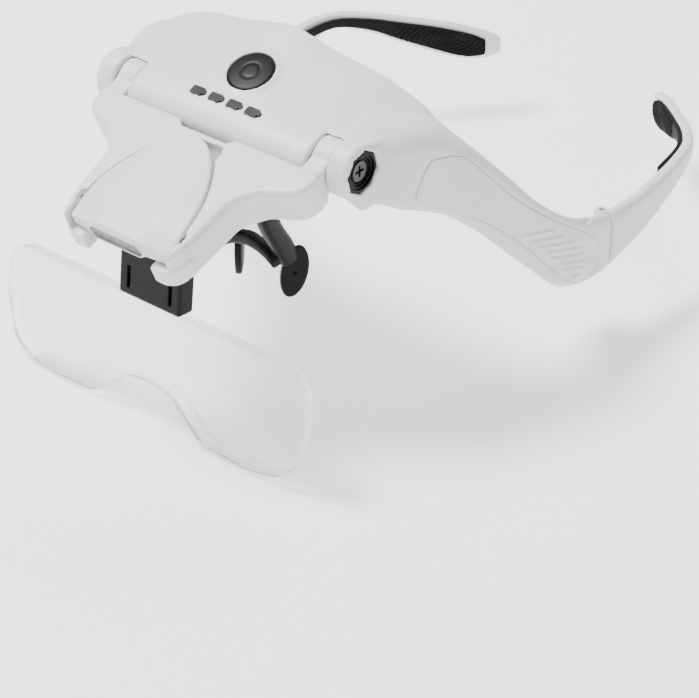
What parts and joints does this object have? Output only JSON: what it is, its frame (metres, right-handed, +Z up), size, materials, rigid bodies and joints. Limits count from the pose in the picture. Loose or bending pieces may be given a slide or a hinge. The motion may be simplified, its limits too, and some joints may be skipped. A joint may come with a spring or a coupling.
{
  "type": "head visor magnifier",
  "caption": "Head-worn visor magnifier with folding temples, a flip-up lens bracket, a tilting light and a clear plug-in lens.",
  "frame": {"origin": "middle of the forehead rest, on the brow housing's rear face", "axes": "+X to the wearer's left, -Y forward, +Z up"},
  "size_m": [0.1392, 0.2075, 0.0912],
  "materials": {
    "white_shell": "satin white injection moulding",
    "black_plastic": "fine satin grain",
    "soft_black_rubber": "soft matt over-moulding",
    "clear_lens": "polished clear acrylic",
    "clear_window": "polished clear polycarbonate",
    "bright_steel": "nickel plated",
    "dark_screw": "black oxide",
    "bush_nylon": "natural nylon",
    "reflector": "vacuum metallised",
    "diode": "moulded epoxy",
    "board": "solder mask",
    "switch_body": "moulded",
    "cell_wrap": "foil pouch"
  },
  "bodies": {
    "visor": {"visor_housing": "white_shell", "housing_cover": "white_shell", "cover_screws": "bright_steel", "side_panel_left": "white_shell", "side_panel_right": "white_shell", "charge_windows": "black_plastic", "charge_socket": "bright_steel", "hinge_hub_left": "black_plastic", "hinge_hub_right": "black_plastic", "hinge_screw_left": "dark_screw", "hinge_screw_right": "dark_screw", "nose_bridge": "black_plastic", "nose_pad_left": "soft_black_rubber", "nose_pad_right": "soft_black_rubber", "button_ring": "black_plastic", "circuit_board": "board", "tactile_switch": "switch_body", "indicator_leds": "diode", "battery_cell": "cell_wrap", "temple_pin_left": "bright_steel", "temple_pin_right": "bright_steel"},
    "bracket": {"lens_bracket": "white_shell", "ear_bush_left": "bush_nylon", "ear_bush_right": "bush_nylon", "lamp_pins": "bright_steel", "holder_pins": "bright_steel"},
    "lamp": {"lamp_cover": "white_shell", "lamp_tray": "white_shell", "lamp_window": "clear_window", "lamp_reflector": "reflector", "lamp_leds": "diode", "lamp_board": "board"},
    "holder": {"lens_holder": "black_plastic"},
    "lens": {"magnifier_lens": "clear_lens"},
    "power_button": {"power_button": "black_plastic"},
    "temple_left": {"temple_left": "white_shell", "temple_pad_left": "soft_black_rubber"},
    "temple_right": {"temple_right": "white_shell", "temple_pad_right": "soft_black_rubber"}
  },
  "joints": [
    {"name": "bracket_flip", "type": "hinge", "parent": "visor", "child": "bracket", "pos_m": [0, -0.026, -0.002], "axis": [-1, 0, 0], "range_deg": [0, 60]},
    {"name": "lamp_tilt", "type": "hinge", "parent": "bracket", "child": "lamp", "pos_m": [0, -0.06414, -0.01381], "axis": [-1, 0, 0], "range_deg": [0, 10]},
    {"name": "holder_tilt", "type": "hinge", "parent": "bracket", "child": "holder", "pos_m": [0, -0.0553, -0.0176], "axis": [-1, 0, 0], "range_deg": [-15, 40]},
    {"name": "lens_release", "type": "slide", "parent": "holder", "child": "lens", "axis": [0, -0.1305, -0.9914], "range_m": [0, 0.009]},
    {"name": "button_press", "type": "slide", "parent": "visor", "child": "power_button", "axis": [0, 0.3827, -0.9239], "range_m": [0, 0.0006], "stiffness_N_per_m": 2500},
    {"name": "temple_fold_left", "type": "hinge", "parent": "visor", "child": "temple_left", "pos_m": [0.0648, 0.049, -0.0445], "axis": [0, 0, 1], "range_deg": [0, 88]},
    {"name": "temple_fold_right", "type": "hinge", "parent": "visor", "child": "temple_right", "pos_m": [-0.0648, 0.049, -0.0445], "axis": [0, 0, 1], "range_deg": [-88, 0]}
  ]
}
